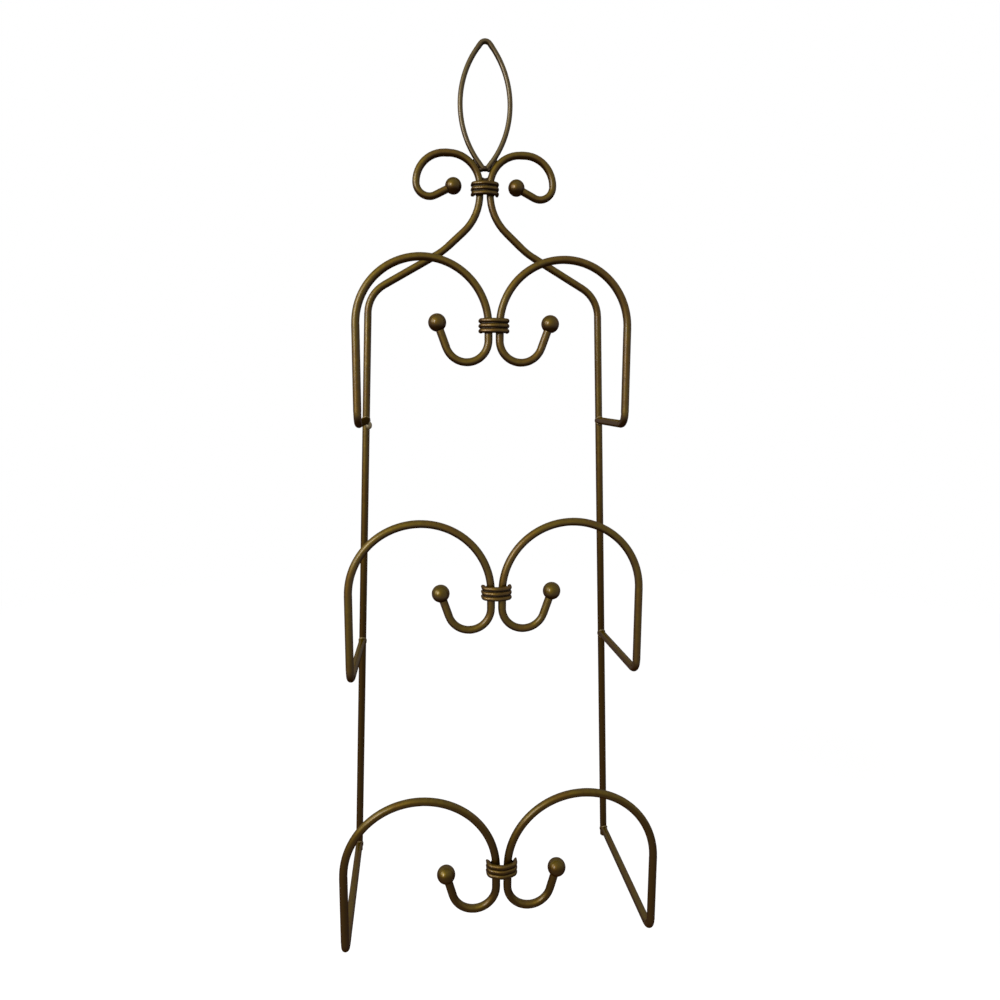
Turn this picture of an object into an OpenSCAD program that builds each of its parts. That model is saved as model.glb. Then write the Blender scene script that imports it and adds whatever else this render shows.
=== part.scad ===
// Wall plate rack: three tiers of scrolled hoops on two bent rods, hung by a wire loop.
// Millimetres, +Z up. The wall is the plane y = 0 and the rack stands out towards -Y.
// The origin lies on the wall, level with the inside of the loop's top, where a hook holds it.
// A "drop" is a height below the origin. An "x" is a distance from the centre plane.

/* [Rod, wire and balls] */
// Diameter of the rod of the uprights and the hoops
rod_d = 6.35; // [5:0.05:7]
// Diameter of the hanging loop's wire
loop_wire_d = 4.5; // [3:0.1:5]
// Diameter of the wire of the collars
collar_wire_d = 3.8; // [3:0.1:4.2]
// Diameter of the balls on the rod ends
ball_d = 14; // [12:0.5:18]
// How far a rod end stops short of the middle of its ball
ball_seat = 2; // [1:0.5:3]

/* [Uprights] */
// Drop of the uprights' feet
foot_drop = 717; // [716:1:760]
// x of the uprights' feet
foot_x = 118.5; // [105:0.5:130]
// x of the shoulder, where the flare meets the upright
shoulder_x = 100; // [90:0.5:110]
// Drop of the shoulder
shoulder_drop = 203.5; // [195:0.5:215]
// Bend radius of the shoulder
shoulder_r = 28.5; // [20:0.5:34]
// x of the flare's knee, where its line eases outward
knee_x = 36.5; // [32:0.5:42]
// Drop of the flare's knee
knee_drop = 167; // [162:0.5:172]
// Bend radius of the flare's knee
knee_r = 60; // [30:5:100]
// Drop at which the two rods begin to part below the crown collar
neck_drop = 137.5; // [135:0.5:141]
// Bend radius of the neck
neck_r = 43; // [25:1:50]

/* [Crown scrolls] */
// Drop of the top of the scrolls, to the rod's middle
scroll_drop = 86.5; // [83:0.5:90]
// Reach of the scrolls from the centre plane, to the rod's middle
scroll_reach = 58.5; // [56:0.5:66]
// Bend radius of the scroll where it rises out of the crown collar
scroll_inner_r = 26; // [18:0.5:28]
// Bend radius of the scroll's outer shoulder
scroll_outer_r = 24.5; // [18:0.5:26]
// x of the scroll's ball
scroll_ball_x = 27; // [24:0.5:29]
// Drop of the scroll's ball
scroll_ball_drop = 113; // [111:0.5:118]
// Slope of the scroll's free end, in degrees
curl_slope = 27; // [20:0.5:30]
// Drop of the middle of the crown collar
crown_collar_drop = 115; // [113:0.5:117]

/* [Tiers] */
// Drop of the top tier's arms
top_arm_drop = 311; // [295:1:313]
// Height from one tier to the next
tier_pitch = 199.5; // [190:0.5:200]
// How far the front of each tier stands out from the uprights, from the top tier down
tier_depth = [75, 100, 143.5]; // [50:0.5:180]
// Half width of the hoops of each tier
tier_half_w = [106.5, 115, 120]; // [100:0.5:130]
// Height of each tier's collar above its arms
collar_rise = [76.5, 69.5, 63]; // [55:0.5:90]
// Drop of each tier's hooks below its collar
hook_drop = [28, 30, 33]; // [25:0.5:38]
// Height of the balls above the bottom of their hooks
hook_ball_rise = 30; // [26:0.5:36]
// Bend radius of the hooks
hook_r = 17; // [14:0.5:18]
// Outward lean of the hooks' free ends, in degrees, from the top tier down
hook_lean = [20, 19, 16]; // [12:0.5:28]
// Bend radius of the front corners, where an arm turns up into its hoop
corner_r = 9.5; // [6:0.5:12]

/* [Collars] */
// Distance between the middles of the two rods that a collar holds
pair_pitch = 8.8; // [7.4:0.1:9]
// Half width of a collar, over its wires
collar_half_w = 12; // [11.8:0.1:14]
// How far the collar's wires reach behind the middle of the rods
collar_back = 4; // [3:0.5:7]
// Slope of a collar's front on each side of its nose, in degrees
collar_slope = 20; // [10:1:25]
// Gap between the wires of a collar
collar_gap = 0.1; // [0.05:0.05:0.3]

/* [Hanging loop] */
// Lean of the loop's four sides from the vertical, in degrees
loop_lean = 37; // [35:0.5:38]
// Bend radius of the loop's two sides
loop_side_r = 75; // [60:1:77]
// Bend radius of the loop's nose
loop_nose_r = 5; // [4:0.5:6]

/* [Hidden] */
$fn = 40;

LEFT = -1;
RIGHT = 1;
UPPER = 1;
MIDDLE = 0;
LOWER = -1;
UP = [0, 0, 1];
BRASS = [0.40, 0.31, 0.15];
BRASS_WIRE = [0.42, 0.30, 0.18];

// A bend runs this far into the straight lengths beside it
lap = 0.1;
// Bending draws the rod out: a bend is thinner by one step of this, or by two next to another
thinning = 0.1;
// Chamfer on a sawn rod end
end_chamfer = 0.6;
// Room round a rod end in its ball's socket
socket_room = 0.05;
// Gap between two pieces that lie side by side and are joined by a weld
weld_gap = 0.05;
// Swelling of an arm's welded end, and the length over which it grows
weld_swell = 1.2;
weld_length = 1.8;
// Angle at which the ends of the collar wires are pinched off
pinch_angle = 50;
// Bend radii of a collar wire at its two sides and at its nose
collar_side_r = collar_wire_d;
collar_nose_r = 9;

pair_x = pair_pitch / 2;
// The crown's balls are the hindmost points and rest against the wall
rod_y = -ball_d / 2;

// ---- points and directions ----

function unit(v) = v / norm(v);
// Point at distance x from the centre plane and at a drop, in the plane at depth y
function hung(x, drop, y = rod_y) = [x, y, -drop];
// Placement whose origin is o, x axis u and z axis w
function placed(o, u, w) = let (v = cross(w, u))
    [[u[0], v[0], w[0], o[0]], [u[1], v[1], w[1], o[1]], [u[2], v[2], w[2], o[2]], [0, 0, 0, 1]];
// A unit vector square to w
function square_to(w) = unit(cross(w, abs(w[2]) < 0.9 ? UP : [1, 0, 0]));
// Length that a bend of radius r takes off each line at a corner between directions u and w
function bend_cut(u, w, r) = r * tan(acos(u * w) / 2);

// ---- bent rod ----

// A straight length from a to b
module straight(a, b, d1, d2) {
    w = unit(b - a);
    multmatrix(placed(a, square_to(w), w))
        cylinder(h = norm(b - a), d1 = d1, d2 = d2);
}

// A bend at corner p, from direction u into direction w
module bend(p, u, w, r, d) {
    inward = unit(w - (u * w) * u);
    middle = p - bend_cut(u, w, r) * u + r * inward;
    over = lap / r * 180 / PI;
    multmatrix(placed(middle, -inward, unit(cross(u, w))))
        rotate([0, 0, -over])
            rotate_extrude(angle = acos(u * w) + 2 * over)
                translate([r, 0]) circle(d = d);
}

// A rod or wire bent along a route of corners, with a bend radius at each inner corner
module bent_rod(route, radii, d) {
    last = len(route) - 1;
    dirs = [for (i = [0:last - 1]) unit(route[i + 1] - route[i])];
    cuts = [for (i = [0:last])
        i == 0 || i == last ? 0 : bend_cut(dirs[i - 1], dirs[i], radii[i - 1])];
    for (i = [0:last - 1])
        if (norm(route[i + 1] - route[i]) - cuts[i] - cuts[i + 1] > lap)
            straight(route[i] + cuts[i] * dirs[i], route[i + 1] - cuts[i + 1] * dirs[i], d, d);
    for (i = [1:last - 1])
        bend(route[i], dirs[i - 1], dirs[i], radii[i - 1], d - (1 + i % 2) * thinning);
}

// A chamfered end that carries a rod on from p in direction w
module chamfered_end(p, w, d) {
    straight(p - lap * w, p + end_chamfer * w, d - thinning, d - 2 * end_chamfer);
}

module on_side(side) {
    mirror([side == LEFT ? 1 : 0, 0, 0]) children();
}

// ---- uprights ----

// The scroll's free end slopes from its ball down to the outer side, and the curl's radius
// is the one that leaves no straight length between the curl and the outer shoulder
curl_drop = scroll_ball_drop + (scroll_reach - scroll_ball_x) * tan(curl_slope);
curl_r = (curl_drop - scroll_drop - scroll_outer_r) / tan((90 + curl_slope) / 2);
curl_dir = [cos(curl_slope), 0, -sin(curl_slope)];
foot_dir = unit(hung(foot_x, foot_drop) - hung(shoulder_x, shoulder_drop));

// Corners of the right upright, from its scroll's ball down to its foot
upright_route = [
    hung(scroll_ball_x, scroll_ball_drop) + ball_seat * curl_dir,
    hung(scroll_reach, curl_drop),
    hung(scroll_reach, scroll_drop),
    hung(pair_x, scroll_drop),
    hung(pair_x, neck_drop),
    hung(knee_x, knee_drop),
    hung(shoulder_x, shoulder_drop),
    hung(foot_x, foot_drop) - end_chamfer * foot_dir
];
upright_radii = [curl_r, scroll_outer_r, scroll_inner_r, neck_r, knee_r, shoulder_r];
shoulder_end = upright_route[6];
foot_end = upright_route[7];

// x of an upright at a given drop below its shoulder
function upright_x(drop) =
    shoulder_x + (foot_x - shoulder_x) * (drop - shoulder_drop) / (foot_drop - shoulder_drop);

module upright(side) {
    color(BRASS) on_side(side) {
        bent_rod(upright_route, upright_radii, rod_d);
        chamfered_end(foot_end, foot_dir, rod_d);
    }
}

// ---- tiers, numbered 1 to 3 from the top one down ----

function arm_drop(t) = top_arm_drop + (t - 1) * tier_pitch;
function tier_y(t) = rod_y - tier_depth[t - 1];
function collar_drop(t) = arm_drop(t) - collar_rise[t - 1];
// Two quarter bends make the arch a half circle that springs from the collar
function arch_r(t) = (tier_half_w[t - 1] - pair_x) / 2;
function arch_drop(t) = collar_drop(t) - arch_r(t);
function hook_bottom(t) = collar_drop(t) + hook_drop[t - 1];
function hook_dir(t) = [sin(hook_lean[t - 1]), 0, cos(hook_lean[t - 1])];
function hook_x(t) = pair_x + hook_r * (1 + tan((90 - hook_lean[t - 1]) / 2));
function hook_corner(t) = hung(hook_x(t), hook_bottom(t), tier_y(t));
function ball_middle(t) = hook_corner(t) + hook_ball_rise / hook_dir(t)[2] * hook_dir(t);

// Corners of a tier's right hoop, from the upright's middle to the hook's ball
function hoop_route(t) = [
    hung(upright_x(arm_drop(t)), arm_drop(t)),
    hung(tier_half_w[t - 1], arm_drop(t), tier_y(t)),
    hung(tier_half_w[t - 1], arch_drop(t), tier_y(t)),
    hung(pair_x, arch_drop(t), tier_y(t)),
    hung(pair_x, hook_bottom(t), tier_y(t)),
    hook_corner(t),
    ball_middle(t) - ball_seat * hook_dir(t)
];

module hoop(t, side) {
    route = hoop_route(t);
    arm_dir = unit(route[1] - route[0]);
    swell_start = route[0] + (rod_d / 2 + weld_length) * arm_dir;
    color(BRASS) on_side(side) difference() {
        union() {
            bent_rod(route, [corner_r, arch_r(t), arch_r(t), hook_r, hook_r], rod_d);
            straight(swell_start, route[0], rod_d - thinning, rod_d + weld_swell);
        }
        // the arm's end is fitted to the round of the upright
        straight(shoulder_end, foot_end, rod_d, rod_d);
    }
}

// ---- balls ----

// A ball at p, turned with a blind socket for a rod end that comes in along direction w
module ball(p, w) {
    socket_r = rod_d / 2 + socket_room;
    multmatrix(placed(p, square_to(w), w))
        rotate_extrude() difference() {
            intersection() {
                circle(d = ball_d);
                translate([0, -ball_d / 2]) square([ball_d / 2, ball_d]);
            }
            translate([0, -ball_d]) square([socket_r, ball_d - ball_seat]);
        }
}

module crown_ball(side) {
    color(BRASS) on_side(side) ball(hung(scroll_ball_x, scroll_ball_drop), -curl_dir);
}

module hook_ball(t, side) {
    color(BRASS) on_side(side) ball(ball_middle(t), hook_dir(t));
}

// ---- collars ----

// Plan of a collar wire about the middle of its pair of rods: it bears on the front of both
collar_side_x = collar_half_w - collar_wire_d / 2;
collar_nose_y = -(rod_d + collar_wire_d) / 2 / cos(collar_slope) - pair_x * tan(collar_slope);
collar_cheek_y = collar_nose_y + collar_side_x * tan(collar_slope);
collar_route = [
    [-collar_side_x, collar_back, 0],
    [-collar_side_x, collar_cheek_y, 0],
    [0, collar_nose_y, 0],
    [collar_side_x, collar_cheek_y, 0],
    [collar_side_x, collar_back, 0]
];
collar_radii = [collar_side_r, collar_nose_r, collar_side_r];

// What the cutter takes off behind the slanting line through a wire end's outer edge
module pinched_off(side) {
    block = [6 * collar_wire_d, 3 * collar_wire_d, 3 * collar_wire_d];
    translate([side * collar_half_w, collar_back, 0])
        rotate([0, 0, side * pinch_angle])
            translate([0, block[1] / 2, 0]) cube(block, center = true);
}

// One of a collar's three wires, round the pair of rods whose middle is at this drop and y
module collar_wire(drop, y, row) {
    color(BRASS_WIRE)
        translate([0, y, -drop + row * (collar_wire_d + collar_gap)])
            difference() {
                bent_rod(collar_route, collar_radii, collar_wire_d);
                pinched_off(LEFT);
                pinched_off(RIGHT);
            }
}

module crown_collar_wire(row) {
    collar_wire(crown_collar_drop, rod_y, row);
}

module tier_collar_wire(t, row) {
    collar_wire(collar_drop(t), tier_y(t), row);
}

// ---- hanging loop ----

// The loop is a slim rhombus with rounded corners. Its two ends meet at the centre plane,
// where each lower side touches the scroll that it is welded to.
loop_end_x = loop_wire_d / 2 * cos(loop_lean) + weld_gap;
scroll_middle = [pair_x + scroll_inner_r, scroll_drop + scroll_inner_r];
loop_reach = scroll_inner_r + (rod_d + loop_wire_d) / 2 + weld_gap;
loop_end_drop = scroll_middle[1]
    - (loop_reach - (scroll_middle[0] - loop_end_x) * cos(loop_lean)) / sin(loop_lean);
// Corners that the four sides would have if they weren't rounded
loop_top = loop_nose_r / sin(loop_lean) - loop_nose_r + loop_wire_d / 2;
loop_bottom_drop = loop_end_drop + loop_end_x / tan(loop_lean);
loop_corner_drop = (loop_bottom_drop - loop_top) / 2;
loop_corner_x = (loop_corner_drop + loop_top) * tan(loop_lean);

module hanging_loop() {
    route = [
        hung(-loop_end_x, loop_end_drop),
        hung(-loop_corner_x, loop_corner_drop),
        hung(0, -loop_top),
        hung(loop_corner_x, loop_corner_drop),
        hung(loop_end_x, loop_end_drop)
    ];
    color(BRASS_WIRE)
        bent_rod(route, [loop_side_r, loop_nose_r, loop_side_r], loop_wire_d);
}

// ---- assembly ----

upright(LEFT);  // upright_left
upright(RIGHT);  // upright_right
hanging_loop();
crown_ball(LEFT);  // crown_ball_left
crown_ball(RIGHT);  // crown_ball_right
crown_collar_wire(UPPER);  // crown_collar_wire_upper
crown_collar_wire(MIDDLE);  // crown_collar_wire_middle
crown_collar_wire(LOWER);  // crown_collar_wire_lower

hoop(1, LEFT);  // tier1_hoop_left
hoop(1, RIGHT);  // tier1_hoop_right
hook_ball(1, LEFT);  // tier1_ball_left
hook_ball(1, RIGHT);  // tier1_ball_right
tier_collar_wire(1, UPPER);  // tier1_collar_wire_upper
tier_collar_wire(1, MIDDLE);  // tier1_collar_wire_middle
tier_collar_wire(1, LOWER);  // tier1_collar_wire_lower

hoop(2, LEFT);  // tier2_hoop_left
hoop(2, RIGHT);  // tier2_hoop_right
hook_ball(2, LEFT);  // tier2_ball_left
hook_ball(2, RIGHT);  // tier2_ball_right
tier_collar_wire(2, UPPER);  // tier2_collar_wire_upper
tier_collar_wire(2, MIDDLE);  // tier2_collar_wire_middle
tier_collar_wire(2, LOWER);  // tier2_collar_wire_lower

hoop(3, LEFT);  // tier3_hoop_left
hoop(3, RIGHT);  // tier3_hoop_right
hook_ball(3, LEFT);  // tier3_ball_left
hook_ball(3, RIGHT);  // tier3_ball_right
tier_collar_wire(3, UPPER);  // tier3_collar_wire_upper
tier_collar_wire(3, MIDDLE);  // tier3_collar_wire_middle
tier_collar_wire(3, LOWER);  // tier3_collar_wire_lower
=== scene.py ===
"""Wall plate rack in an antique bronze finish, in plain studio light."""

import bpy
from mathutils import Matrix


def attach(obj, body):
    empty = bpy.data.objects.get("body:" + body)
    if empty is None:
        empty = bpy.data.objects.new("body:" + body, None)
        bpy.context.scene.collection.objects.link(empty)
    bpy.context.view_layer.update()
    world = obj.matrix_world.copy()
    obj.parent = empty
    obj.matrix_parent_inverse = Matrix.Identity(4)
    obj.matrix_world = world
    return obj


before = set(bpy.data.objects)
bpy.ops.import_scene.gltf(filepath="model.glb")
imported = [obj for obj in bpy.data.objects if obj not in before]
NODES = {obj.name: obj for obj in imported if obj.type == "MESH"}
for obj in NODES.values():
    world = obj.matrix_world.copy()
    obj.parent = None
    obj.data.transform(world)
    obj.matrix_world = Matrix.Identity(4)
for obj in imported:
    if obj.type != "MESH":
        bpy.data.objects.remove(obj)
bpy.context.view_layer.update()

import math
import random

import bpy
from mathutils import Euler, Matrix, Vector

MM = 0.001

# ---- camera, at the photograph's viewing angle ----

CAMERA_PLACE = (-0.0668, -0.6866, -0.2814)
CAMERA_YAW = 6.80     # degrees towards +X
CAMERA_PITCH = 8.42   # degrees below the horizon
CAMERA_ROLL = 0.295   # degrees
CAMERA_LENS = 27.50   # mm
SENSOR_WIDTH = 36     # mm
CLIP_START = 0.01


def add_camera():
    data = bpy.data.cameras.new("camera")
    data.lens = CAMERA_LENS
    data.sensor_width = SENSOR_WIDTH
    data.clip_start = CLIP_START
    camera = bpy.data.objects.new("camera", data)
    turn = Euler((math.radians(90 - CAMERA_PITCH), 0, math.radians(-CAMERA_YAW))).to_matrix()
    roll = Matrix.Rotation(math.radians(CAMERA_ROLL), 3, "Z")
    camera.matrix_world = Matrix.Translation(CAMERA_PLACE) @ (turn @ roll).to_4x4()
    bpy.context.scene.collection.objects.link(camera)
    bpy.context.scene.camera = camera


add_camera()

# ---- node helpers ----


class Shader:
    """A material's node tree, with short calls for the nodes that the finishes use."""

    def __init__(self, name):
        self.material = bpy.data.materials.new(name)
        self.material.use_nodes = True
        self.tree = self.material.node_tree
        self.tree.nodes.clear()
        self.coords = self.add("ShaderNodeTexCoord").outputs["Object"]

    def add(self, kind, **values):
        node = self.tree.nodes.new(kind)
        for key, value in values.items():
            setattr(node, key, value)
        return node

    def put(self, socket, value):
        """Links another node's output into a socket, or sets the socket to a plain value."""
        if isinstance(value, bpy.types.NodeSocket):
            self.tree.links.new(value, socket)
        else:
            socket.default_value = value

    def feed(self, node, **inputs):
        """Sets a node's inputs by name, with _ for a space."""
        for key, value in inputs.items():
            self.put(node.inputs[key.replace("_", " ")], value)
        return node

    def noise(self, size, detail, roughness, offset):
        """Noise whose features are about this big in metres, moved along by an offset."""
        place = self.add("ShaderNodeMapping")
        self.feed(place, Vector=self.coords, Location=(offset, offset, offset))
        node = self.add("ShaderNodeTexNoise")
        self.feed(node, Vector=place.outputs[0], Scale=1 / size, Detail=detail, Roughness=roughness)
        return node.outputs["Fac"]

    def steps(self, value, low, high, to_low=0.0, to_high=1.0):
        """Value between low and high, taken smoothly to another range."""
        node = self.add("ShaderNodeMapRange", interpolation_type="SMOOTHSTEP")
        self.feed(node, Value=value)
        for socket, number in zip(node.inputs[1:5], (low, high, to_low, to_high)):
            socket.default_value = number
        return node.outputs[0]

    def mix(self, share, one, other):
        """Colour one, with a share of the other in it."""
        node = self.add("ShaderNodeMix", data_type="RGBA")
        # a Mix node keeps its colour inputs in sockets 6 and 7, and its colour output in 2
        for socket, value in zip((node.inputs[0], node.inputs[6], node.inputs[7]), (share, one, other)):
            self.put(socket, value)
        return node.outputs[2]

    def facing(self, direction):
        """How squarely the surface faces a direction of the world, from -1 to 1."""
        node = self.add("ShaderNodeVectorMath", operation="DOT_PRODUCT")
        self.tree.links.new(self.add("ShaderNodeNewGeometry").outputs["Normal"], node.inputs[0])
        node.inputs[1].default_value = Vector(direction).normalized()
        return node.outputs["Value"]

    def math(self, operation, one, other):
        node = self.add("ShaderNodeMath", operation=operation)
        for socket, value in zip(node.inputs, (one, other)):
            self.put(socket, value)
        return node.outputs[0]

    def end(self, surface):
        out = self.add("ShaderNodeOutputMaterial")
        self.tree.links.new(surface.outputs[0], out.inputs["Surface"])
        return self.material


def rgb(red, green, blue):
    """An 8-bit display colour as a linear one."""
    linear = [((v / 255 + 0.055) / 1.055) ** 2.4 if v > 10 else v / 255 / 12.92
              for v in (red, green, blue)]
    return (*linear, 1.0)


# ---- finishes ----

UP = (0, 0, 1)
BEHIND = (0, 1, 0)
PAINTED_LIGHT_SIDE = (0, -0.65, 0.76)   # surfaces facing this way get painted light, lighter in front and on top

# the noise that each effect follows: size in metres, detail, roughness, and an offset of its own
PATCH_NOISE = (24 * MM, 3.0, 0.5, 0.0)
MOTTLE_NOISE = (3.5 * MM, 4.0, 0.6, 3.0)
GRAIN_NOISE = (0.7 * MM, 2.0, 0.7, 7.0)
WEAR_NOISE = (5 * MM, 3.0, 0.6, 9.0)
SATIN_NOISE = (6 * MM, 3.0, 0.5, 11.0)
SKIN_NOISE = (2.5 * MM, 3.0, 0.5, 5.0)

# levels between which each effect sets in: of the noise, of the facing or of the height in metres
PATCHED = (0.44, 0.66)
MOTTLED = (0.32, 0.70)
GRAINED = (0.56, 0.72)
TURNED_FROM_LIGHT = (1.05, 0.35)
UNDERSIDE = (-0.10, -0.60)
BACK = (0.15, 0.80)
NOT_ON_TOP = (0.75, 0.10)
LOW_SHADE_HEIGHTS = (-0.35, -0.68)       # heights between which painted shade turns the sides browner
UPRIGHT_SHADE_HEIGHTS = (-0.24, -0.50)       # the same painted shade for the uprights, setting in higher
CLOSED = (0.80, 0.30)
SATINED = (0.3, 0.7)

# strength of each effect where it is full
MOTTLE = 0.35
GRAIN = 0.50
WEAR_UNEVEN = 0.30
# strengths of the painted shade underneath and at the back
UNDERSIDE_SHADE = 0.92
BACK_SHADE = 0.35
LOW_SHADE_AMOUNT = 0.95
LOW_SHADE_DARKNESS = 0.4
LOW_SHADE_DULLS = 0.7              # how much of the lacquer's gloss the painted low shade takes
HOLLOW_DARKENING = 0.85
HOLLOW_REACH = 4 * MM
HOLLOW_SAMPLES = 8
SATIN_SPREAD = (-0.05, 0.08)     # how far the roughness strays from the finish's own
SKIN_DEPTH = 0.05 * MM
GRAIN_DEPTH = 0.02 * MM
GRAIN_RELIEF = 0.4
LACQUER_IOR = 1.25
EDGE_TINT = (0.45, 0.38, 0.22, 1.0)

# what fades towards a rod's edge: two levels of the layer weight's facing, and the value at each
LACQUER_FADE = (0.20, 0.60, 1.0, 0.30)
LACQUER_EDGE = (0.60, 0.90, 1.0, 0.01)
METAL_FADE = (0.55, 0.92, 0.85, 0.05)


def antique_bronze(name, bright, warm, brown, patina_and_shade, roughness=0.56, gloss=0.25,
                   uneven=0.15, heights=LOW_SHADE_HEIGHTS):
    """Lacquered bronze finish with painted light and shade: lighter in front and on top, painted shade
    below, at the back and low on the sides, and darker in the hollows.
    """
    s = Shader(name)
    # broad patches that lean to a warmer brown
    patches = s.steps(s.noise(*PATCH_NOISE), *PATCHED)
    colour = s.mix(patches, bright, warm)
    # a finer mottle, and dark grains under the lacquer
    mottle = s.steps(s.noise(*MOTTLE_NOISE), *MOTTLED)
    colour = s.mix(s.math("MULTIPLY", mottle, MOTTLE), colour, brown)
    grains = s.steps(s.noise(*GRAIN_NOISE), *GRAINED)
    colour = s.mix(s.math("MULTIPLY", grains, GRAIN), colour, patina_and_shade)
    # painted light and shade: sides turned from the front and the top are browner, and painted shade
    # darkens the underside and the back
    up = s.facing(UP)
    # a noise makes the edge of the painted light uneven
    wear = s.math("MULTIPLY", s.noise(*WEAR_NOISE), WEAR_UNEVEN)
    painted_light_and_wear = s.math("ADD", s.facing(PAINTED_LIGHT_SIDE), wear)
    colour = s.mix(s.steps(painted_light_and_wear, *TURNED_FROM_LIGHT), colour, brown)
    # painted shade underneath and, more lightly, at the back
    painted_shade_below_behind = s.math("MAXIMUM", s.steps(up, *UNDERSIDE, 0.0, UNDERSIDE_SHADE),
                      s.steps(s.facing(BEHIND), *BACK, 0.0, BACK_SHADE))
    colour = s.mix(painted_shade_below_behind, colour, patina_and_shade)
    # painted shade: low down the sides are browner, and only the tops stay bright
    height = s.add("ShaderNodeSeparateXYZ")
    s.feed(height, Vector=s.coords)
    low_side_shade = s.math("MULTIPLY", s.steps(up, *NOT_ON_TOP), s.steps(height.outputs["Z"], *heights))
    colour = s.mix(s.math("MULTIPLY", low_side_shade, LOW_SHADE_AMOUNT), colour, s.mix(LOW_SHADE_DARKNESS, brown, patina_and_shade))
    # darker in the hollows, where the surface is closed in
    hollow = s.add("ShaderNodeAmbientOcclusion", samples=HOLLOW_SAMPLES)
    s.feed(hollow, Distance=HOLLOW_REACH)
    closed = s.steps(hollow.outputs["AO"], *CLOSED)
    colour = s.mix(s.math("MULTIPLY", closed, HOLLOW_DARKENING), colour, patina_and_shade)
    # the metal's satin varies, and the skin of the lacquer is slightly uneven
    least, most = (roughness + spread for spread in SATIN_SPREAD)
    satin = s.steps(s.noise(*SATIN_NOISE), *SATINED, least, most)
    skin = s.add("ShaderNodeBump")
    s.feed(skin, Height=s.noise(*SKIN_NOISE), Distance=SKIN_DEPTH, Strength=uneven)
    grain = s.add("ShaderNodeBump", invert=True)
    s.feed(grain, Height=grains, Distance=GRAIN_DEPTH, Strength=GRAIN_RELIEF, Normal=skin.outputs[0])
    # worn lacquer is dull where it is seen edge-on, and there is little of it where shade is painted
    # underneath, at the back and low on the sides
    weight = s.add("ShaderNodeLayerWeight")
    s.feed(weight, Blend=0.5)
    edge = weight.outputs["Facing"]
    lacquer = s.math("MULTIPLY", s.steps(edge, *LACQUER_FADE), s.steps(edge, *LACQUER_EDGE))
    lacquer = s.math("MULTIPLY", lacquer, s.math("SUBTRACT", 1.0, painted_shade_below_behind))
    dulled = s.math("MULTIPLY", low_side_shade, LOW_SHADE_DULLS)
    lacquer = s.math("MULTIPLY", lacquer, s.math("SUBTRACT", 1.0, dulled))
    metal = s.steps(edge, *METAL_FADE)
    shader = s.add("ShaderNodeBsdfPrincipled")
    s.feed(shader, Base_Color=colour, Roughness=satin, Normal=grain.outputs[0], Metallic=metal)
    s.feed(shader, Specular_IOR_Level=0.0, Specular_Tint=EDGE_TINT)
    s.feed(shader, Coat_Weight=lacquer, Coat_Roughness=gloss, Coat_IOR=LACQUER_IOR,
           Coat_Normal=skin.outputs[0])
    return s.end(shader)


# colours: bright, warmer patches, brown for the mottle and the painted side shade, and the darkest for
# the grains and the painted shade
ROD_COLOURS = (rgb(84, 67, 3), rgb(84, 61, 4), rgb(51, 33, 1), rgb(31, 16, 0))

BRONZE = antique_bronze("antique_bronze", *ROD_COLOURS)
# the uprights' copy, whose painted shade low on the sides sets in higher
BRONZE_UPRIGHT = antique_bronze("antique_bronze_upright", *ROD_COLOURS, heights=UPRIGHT_SHADE_HEIGHTS)
BRONZE_BALL = antique_bronze(
    "antique_bronze_ball", rgb(80, 64, 2), rgb(80, 57, 3), rgb(50, 32, 1), rgb(28, 14, 0),
    roughness=0.50, gloss=0.21, uneven=0.04)
BRONZE_WIRE = antique_bronze(
    "antique_bronze_wire", rgb(84, 65, 10), rgb(84, 60, 10), rgb(50, 32, 3), rgb(22, 10, 0),
    roughness=0.50, gloss=0.22, uneven=0.06)
BRONZE_LOOP = antique_bronze(
    "antique_bronze_loop", rgb(82, 71, 42), rgb(80, 67, 40), rgb(54, 41, 20), rgb(24, 15, 4),
    roughness=0.50, gloss=0.22, uneven=0.06)
WELD = antique_bronze(
    "antique_bronze_weld", rgb(50, 35, 6), rgb(48, 31, 5), rgb(30, 18, 0), rgb(16, 8, 0),
    roughness=0.65, gloss=0.45)
BEAD = antique_bronze(
    "antique_bronze_bead", rgb(100, 85, 50), rgb(96, 78, 44), rgb(70, 54, 28), rgb(52, 38, 18))
# a pale finish that paints the lump's highlight into its colour
PAINTED_HIGHLIGHT_WELD = antique_bronze(
    "painted_highlight_weld", rgb(138, 126, 98), rgb(130, 116, 88), rgb(104, 92, 68), rgb(80, 68, 48))

# finish of the nodes whose names hold a word; the hoops have the plain one
FINISHES = {"ball": BRONZE_BALL, "collar_wire": BRONZE_WIRE, "loop": BRONZE_LOOP,
            "upright": BRONZE_UPRIGHT}

for name, node in NODES.items():
    finish = next((FINISHES[word] for word in FINISHES if word in name), BRONZE)
    for place in node.material_slots:
        place.material = finish

# ---- sizes of the rack that the pieces below are fitted to, in mm ----

ROD_R = 6.35 / 2
ROD_Y = -7.0             # the uprights' plane
SHOULDER = (100, 203.5)  # x and drop of the top of an upright's straight leg
FOOT = (118.5, 717)
TIERS = (                # drop of the arms, depth, half width and drop of the collar
    (311, 75, 106.5, 234.5),
    (510.5, 100, 115, 441),
    (710, 143.5, 120, 647),
)
COLLARS = {"crown": (115, ROD_Y)}   # drop and y of each collar's middle
for number, (_, depth, _, collar_drop) in enumerate(TIERS, 1):
    COLLARS[f"tier{number}"] = (collar_drop, ROD_Y - depth)
WIRE_R = 3.8 / 2
WIRE_PITCH = 3.9
COLLAR_HALF_W = 12
COLLAR_BACK = 4
COLLAR_NOSE_Y = -7.0     # the nose's corner, in front of the middle of the rods
COLLAR_SLOPE = 20        # degrees
LOOP_END_DROP = 98.1     # drop of the middle of the loop's end faces

# ---- mesh helpers ----


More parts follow.
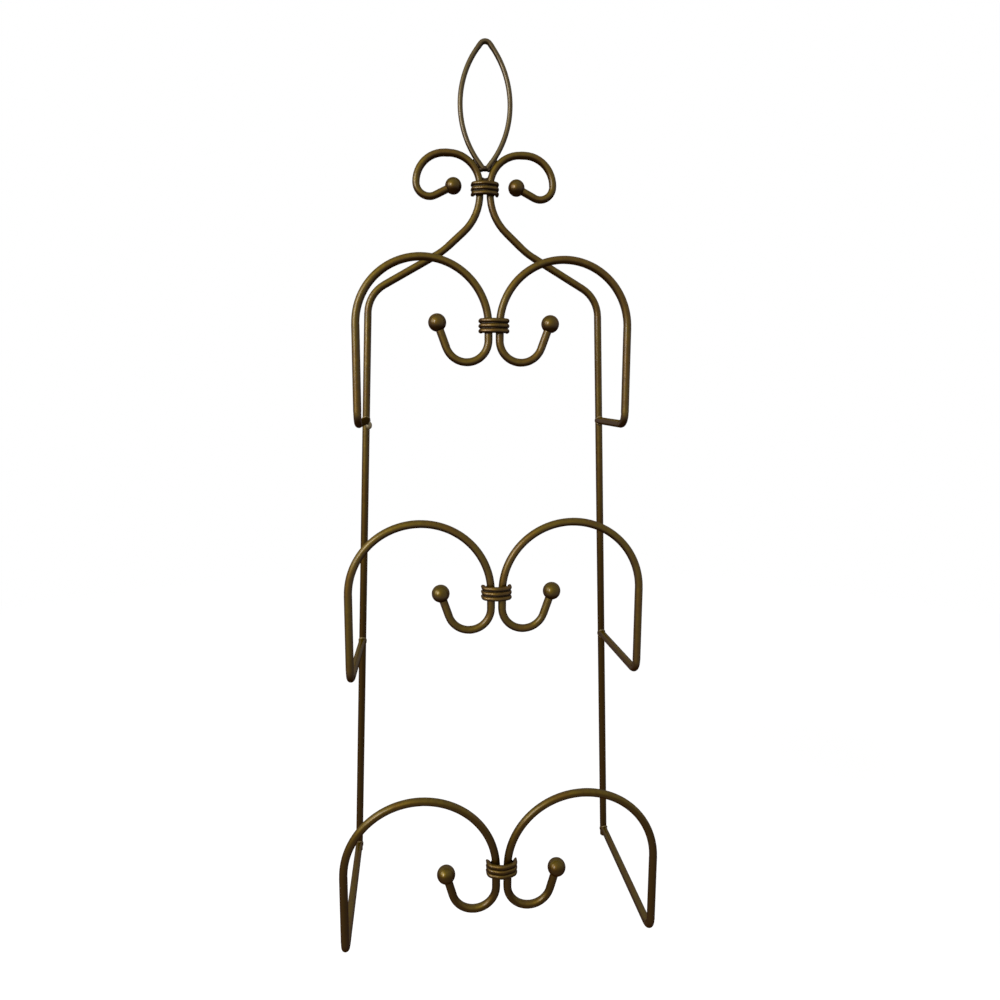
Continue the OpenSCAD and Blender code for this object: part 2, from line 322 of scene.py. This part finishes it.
def smooth_route(corners, radius, steps=8):
    """Points along a route of corners in which every inner corner is rounded."""
    points = [Vector(corners[0])]
    for before, corner, after in zip(corners, corners[1:], corners[2:]):
        before, corner, after = Vector(before), Vector(corner), Vector(after)
        start = corner + (before - corner).normalized() * radius
        end = corner + (after - corner).normalized() * radius
        for i in range(steps + 1):
            t = i / steps
            points.append((1 - t) ** 2 * start + 2 * t * (1 - t) * corner + t ** 2 * end)
    points.append(Vector(corners[-1]))
    return points


def arch_route(half, drop, radius):
    """A route in the uprights' plane: corners of its left half, as x and drop below a height."""
    left = [(-x, ROD_Y, -(drop + below)) for x, below in half]
    right = [(x, ROD_Y, -(drop + below)) for x, below in reversed(half)]
    return smooth_route(left + right, radius)


def bead(name, points, radii, finish, closed=False, sides=14):
    """A tube along points in mm, with a radius at each point and flat ends, or joined in a ring."""
    count = len(points)
    rings = []
    side = None
    for i, point in enumerate(points):
        ahead = points[(i + 1) % count] if closed else points[min(i + 1, count - 1)]
        behind = points[i - 1] if closed else points[max(i - 1, 0)]
        along = (ahead - behind).normalized()
        if side is None:
            side = along.orthogonal().normalized()
        side = (side - along * side.dot(along)).normalized()
        other = along.cross(side)
        ring = []
        for k in range(sides):
            turn = 2 * math.pi * k / sides
            ring.append((point + radii[i] * (math.cos(turn) * side + math.sin(turn) * other)) * MM)
        rings.append(ring)
    vertices = [vertex for ring in rings for vertex in ring]
    faces = []
    for i in range(count if closed else count - 1):
        one, two = i * sides, (i + 1) % count * sides
        for k in range(sides):
            j = (k + 1) % sides
            faces.append((one + k, one + j, two + j, two + k))
    if not closed:
        faces.append(tuple(reversed(range(sides))))
        faces.append(tuple(range((count - 1) * sides, count * sides)))
    mesh = bpy.data.meshes.new(name)
    mesh.from_pydata(vertices, [], faces)
    mesh.validate()
    for face in mesh.polygons:
        face.use_smooth = True
    piece = bpy.data.objects.new(name, mesh)
    bpy.context.scene.collection.objects.link(piece)
    mesh.materials.append(finish)
    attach(piece, "root")
    return piece


RIPPLE_TURN = 1.9   # radians of the ripple from one point of a weld to the next
TAPER_RATE = 6      # a weld reaches its full radius after one part in this many of its length
TAPER_LEAST = 0.12  # least value under the taper's root, so that an end keeps some thickness


def weld_radii(count, radius, ripple, seed, tapered=True):
    """Radii along a weld: ripples of the molten pool, chance lumps and tapered ends."""
    chance = random.Random(seed)
    phase = chance.uniform(0, 2 * math.pi)
    radii = []
    for i in range(count):
        share = i / max(count - 1, 1)
        wave = ripple * math.sin(phase + i * RIPPLE_TURN)
        size = radius * (1 + wave + chance.uniform(-ripple, ripple))
        if tapered:
            taper = min(1.0, TAPER_RATE * share, TAPER_RATE * (1 - share))
            size *= max(TAPER_LEAST, taper) ** 0.5
        radii.append(size)
    return radii


# ---- welds where the arms meet the uprights ----

WELD_R = 1.25
WELD_FLANK = 0.35    # share of that radius at the upright's flanks
WELD_RIPPLE = 0.14
WELD_STEPS = 40


def upright_x(drop):
    return SHOULDER[0] + (FOOT[0] - SHOULDER[0]) * (drop - SHOULDER[1]) / (FOOT[1] - SHOULDER[1])


def add_arm_weld(number, side):
    """A bead along the line in which the arm's round end meets the round of the upright."""
    drop, depth, half_w, _ = TIERS[number - 1]
    start = Vector((side * upright_x(drop), ROD_Y, -drop))
    along = (Vector((side * half_w, ROD_Y - depth, -drop)) - start).normalized()
    axis = Vector((side * (FOOT[0] - SHOULDER[0]), 0, SHOULDER[1] - FOOT[1])).normalized()
    up = Vector((0, 0, 1))
    across = along.cross(up).normalized()
    turns = [2 * math.pi * i / WELD_STEPS for i in range(WELD_STEPS)]
    points = []
    for turn in turns:
        rim = start + ROD_R * (math.cos(turn) * across + math.sin(turn) * up)
        # how far along the arm this line of its surface leaves the upright's surface
        offset = rim - start
        offset -= axis * offset.dot(axis)
        flat = along - axis * along.dot(axis)
        a, b, c = flat.dot(flat), 2 * offset.dot(flat), offset.dot(offset) - ROD_R ** 2
        root = max(b * b - 4 * a * c, 0) ** 0.5
        points.append(rim + along * (-b + root) / (2 * a))
    label = "left" if side < 0 else "right"
    radii = weld_radii(WELD_STEPS, WELD_R, WELD_RIPPLE, seed=number * 2 + side, tapered=False)
    radii = [r * (WELD_FLANK + (1 - WELD_FLANK) * abs(math.sin(turn))) for r, turn in zip(radii, turns)]
    bead(f"arm_weld_tier{number}_{label}", points, radii, BEAD, closed=True)


for number in (1, 2, 3):
    for side in (-1, 1):
        add_arm_weld(number, side)

LUMP_R = 2.9
LUMP_HALF_H = 3.6
LUMP_X = 2.3     # towards the rack's middle from the upright's axis
LUMP_Y = -4.0    # in front of it
LUMP_Z = -4.0    # below the arm's axis
LUMP_STEPS = 12
LUMP_TIP = 0.01  # keeps the lump's ends from closing to a point


def add_weld_lump():
    """The weld of the left arm of the top tier has run into a lump, painted pale as a highlight."""
    drop = TIERS[0][0]
    points, radii = [], []
    for i in range(LUMP_STEPS + 1):
        share = 2 * i / LUMP_STEPS - 1
        points.append(Vector((LUMP_X - upright_x(drop), ROD_Y + LUMP_Y,
                              LUMP_Z - drop - LUMP_HALF_H * share)))
        radii.append(LUMP_R * max(1 - share ** 2, LUMP_TIP) ** 0.5)
    bead("arm_weld_lump", points, radii, PAINTED_HIGHLIGHT_WELD)


add_weld_lump()

# ---- weld of the hanging loop between the scrolls ----

# corners of each weld, as x and the drop below the loop's ends or the collar's top
LOOP_WELD = ((9.8, -8.5), (6.6, -2.4), (4.9, 1.4))
LOOP_WELD_R = 1.5
LOOP_WELD_BEND = 2.0
LOOP_WELD_RIPPLE = 0.10
LEAD_STEPS = 8       # points along the first straight length of a loop weld
ACROSS = ((5.2, 3.6), (3.4, 0.1))
ACROSS_R = 2.2
ACROSS_BEND = 2.5
ACROSS_RIPPLE = 0.06
SOLDER = ((3.8, -4.8), (2.4, -1.9))
SOLDER_R = 1.5
SOLDER_BEND = 2.0
SOLDER_RIPPLE = 0.05


def add_loop_weld():
    """One bead along each side of the loop's ends, and one across under both."""
    for side, label in ((-1, "left"), (1, "right")):
        corners = [(side * x, ROD_Y, -(LOOP_END_DROP + below)) for x, below in LOOP_WELD]
        points = smooth_route(corners, LOOP_WELD_BEND)
        lead = [points[0].lerp(points[1], t / LEAD_STEPS) for t in range(LEAD_STEPS)]
        points = lead + points[1:]
        radii = weld_radii(len(points), LOOP_WELD_R, LOOP_WELD_RIPPLE, seed=31 + side)
        bead(f"loop_weld_{label}", points, radii, WELD)
    points = arch_route(ACROSS, LOOP_END_DROP, ACROSS_BEND)
    radii = weld_radii(len(points), ACROSS_R, ACROSS_RIPPLE, seed=41)
    bead("loop_weld_across", points, radii, WELD)


def add_crown_solder():
    """The solder of the crown collar creeps up between the scrolls."""
    collar_top = COLLARS["crown"][0] - WIRE_PITCH - WIRE_R
    points = arch_route(SOLDER, collar_top, SOLDER_BEND)
    radii = weld_radii(len(points), SOLDER_R, SOLDER_RIPPLE, seed=43)
    bead("crown_solder", points, radii, WELD)


add_loop_weld()
add_crown_solder()

# ---- solder in the seams of the collars, and tacks behind them ----

SEAM_R = 0.7
SEAM_BEND = 2.2
SEAM_SHORT = 0.5      # how far a seam stops short of the wires' ends
TACK_R = 1.2
TACK_X = 7.5
TACK_Y = 1.7          # behind the middle of the rods
TACK_REACH = 1.3      # half height, in pitches of the wires
TACK_STEPS = 16
TACK_RIPPLE = 0.12


def add_collar_solder(label, drop, y):
    side_x = COLLAR_HALF_W - WIRE_R
    cheek_y = COLLAR_NOSE_Y + side_x * math.tan(math.radians(COLLAR_SLOPE))
    back_y = y + COLLAR_BACK - SEAM_SHORT
    for row, seam in ((-0.5, "lower"), (0.5, "upper")):
        z = -drop + row * WIRE_PITCH
        corners = [(-side_x, back_y, z), (-side_x, y + cheek_y, z), (0, y + COLLAR_NOSE_Y, z),
                   (side_x, y + cheek_y, z), (side_x, back_y, z)]
        points = smooth_route(corners, SEAM_BEND)
        bead(f"collar_seam_{label}_{seam}", points, [SEAM_R] * len(points), WELD)
    top = -drop + TACK_REACH * WIRE_PITCH
    bottom = -drop - TACK_REACH * WIRE_PITCH
    for side, name in ((-1, "left"), (1, "right")):
        points = [Vector((side * TACK_X, y + TACK_Y, top + (bottom - top) * i / (TACK_STEPS - 1)))
                  for i in range(TACK_STEPS)]
        radii = weld_radii(TACK_STEPS, TACK_R, TACK_RIPPLE, seed=int(drop) + side)
        bead(f"collar_tack_{label}_{name}", points, radii, WELD)


for label, (drop, y) in COLLARS.items():
    add_collar_solder(label, drop, y)

# ---- floor, background and light ----

FLOOR_Z = -1.05
FLOOR_SIZE = 12.0
WHITE = (1.0, 1.0, 1.0, 1.0)
PALE = (0.80, 0.80, 0.79, 1.0)
NEAR_FLOOR = (1.0, 2.6)     # metres from the rack, over which the plain floor gives way to white
NEAR_SHARE = 0.60
NEAR_GLOW = 1.45            # with the light on the floor this comes to the background's white


def seen_directly(s):
    """1 for rays from the camera, off a glossy surface or through a clear one, else 0."""
    path = s.add("ShaderNodeLightPath").outputs
    glossy = s.math("MAXIMUM", path["Is Glossy Ray"], path["Is Transmission Ray"])
    return s.math("MAXIMUM", path["Is Camera Ray"], glossy)


def add_floor():
    bpy.ops.mesh.primitive_plane_add(size=FLOOR_SIZE, location=(0, 0, FLOOR_Z))
    floor = bpy.context.object
    floor.name = "floor"
    s = Shader("pale_floor")
    pale = s.feed(s.add("ShaderNodeBsdfDiffuse"), Color=PALE)
    length = s.add("ShaderNodeVectorMath", operation="LENGTH")
    s.feed(length, Vector=s.coords)
    away = length.outputs["Value"]
    glow = s.feed(s.add("ShaderNodeEmission"), Color=WHITE,
                  Strength=s.steps(away, *NEAR_FLOOR, NEAR_GLOW, 1.0))
    blend = s.add("ShaderNodeMixShader")
    # the share of plain floor near the rack keeps the shadow that falls on it
    share = s.math("MULTIPLY", seen_directly(s), s.steps(away, *NEAR_FLOOR, NEAR_SHARE, 1.0))
    s.tree.links.new(share, blend.inputs[0])
    s.tree.links.new(pale.outputs[0], blend.inputs[1])
    s.tree.links.new(glow.outputs[0], blend.inputs[2])
    floor.data.materials.append(s.end(blend))


def add_world(fill):
    """White where it is seen, directly or in a gloss, and a soft fill for everything else."""
    world = bpy.data.worlds.new("studio")
    bpy.context.scene.world = world
    world.use_nodes = True
    nodes, links = world.node_tree.nodes, world.node_tree.links
    nodes.clear()
    path = nodes.new("ShaderNodeLightPath").outputs
    seen = path["Is Camera Ray"]
    for ray in ("Is Glossy Ray", "Is Transmission Ray"):
        either = nodes.new("ShaderNodeMath")
        either.operation = "MAXIMUM"
        links.new(seen, either.inputs[0])
        links.new(path[ray], either.inputs[1])
        seen = either.outputs[0]
    strength = nodes.new("ShaderNodeMapRange")
    links.new(seen, strength.inputs["Value"])
    strength.inputs["To Min"].default_value = fill
    strength.inputs["To Max"].default_value = 1.0
    sky = nodes.new("ShaderNodeBackground")
    sky.inputs["Color"].default_value = WHITE
    links.new(strength.outputs[0], sky.inputs["Strength"])
    out = nodes.new("ShaderNodeOutputWorld")
    links.new(sky.outputs[0], out.inputs["Surface"])


def add_lamp(name, place, aim, width, height, power):
    data = bpy.data.lights.new(name, "AREA")
    data.shape = "RECTANGLE"
    data.size = width
    data.size_y = height
    data.energy = power
    lamp = bpy.data.objects.new(name, data)
    lamp.location = place
    lamp.rotation_euler = (Vector(aim) - Vector(place)).to_track_quat("-Z", "Y").to_euler()
    bpy.context.scene.collection.objects.link(lamp)


add_floor()
add_world(fill=0.20)
add_lamp("key", (-1.46, -1.74, 0.30), (0, -0.06, -0.10), width=0.45, height=1.00, power=58)
add_lamp("side", (-1.40, -0.60, 0.25), (0, -0.06, -0.22), width=0.60, height=0.90, power=13)

bpy.context.scene.view_settings.view_transform = "Standard"
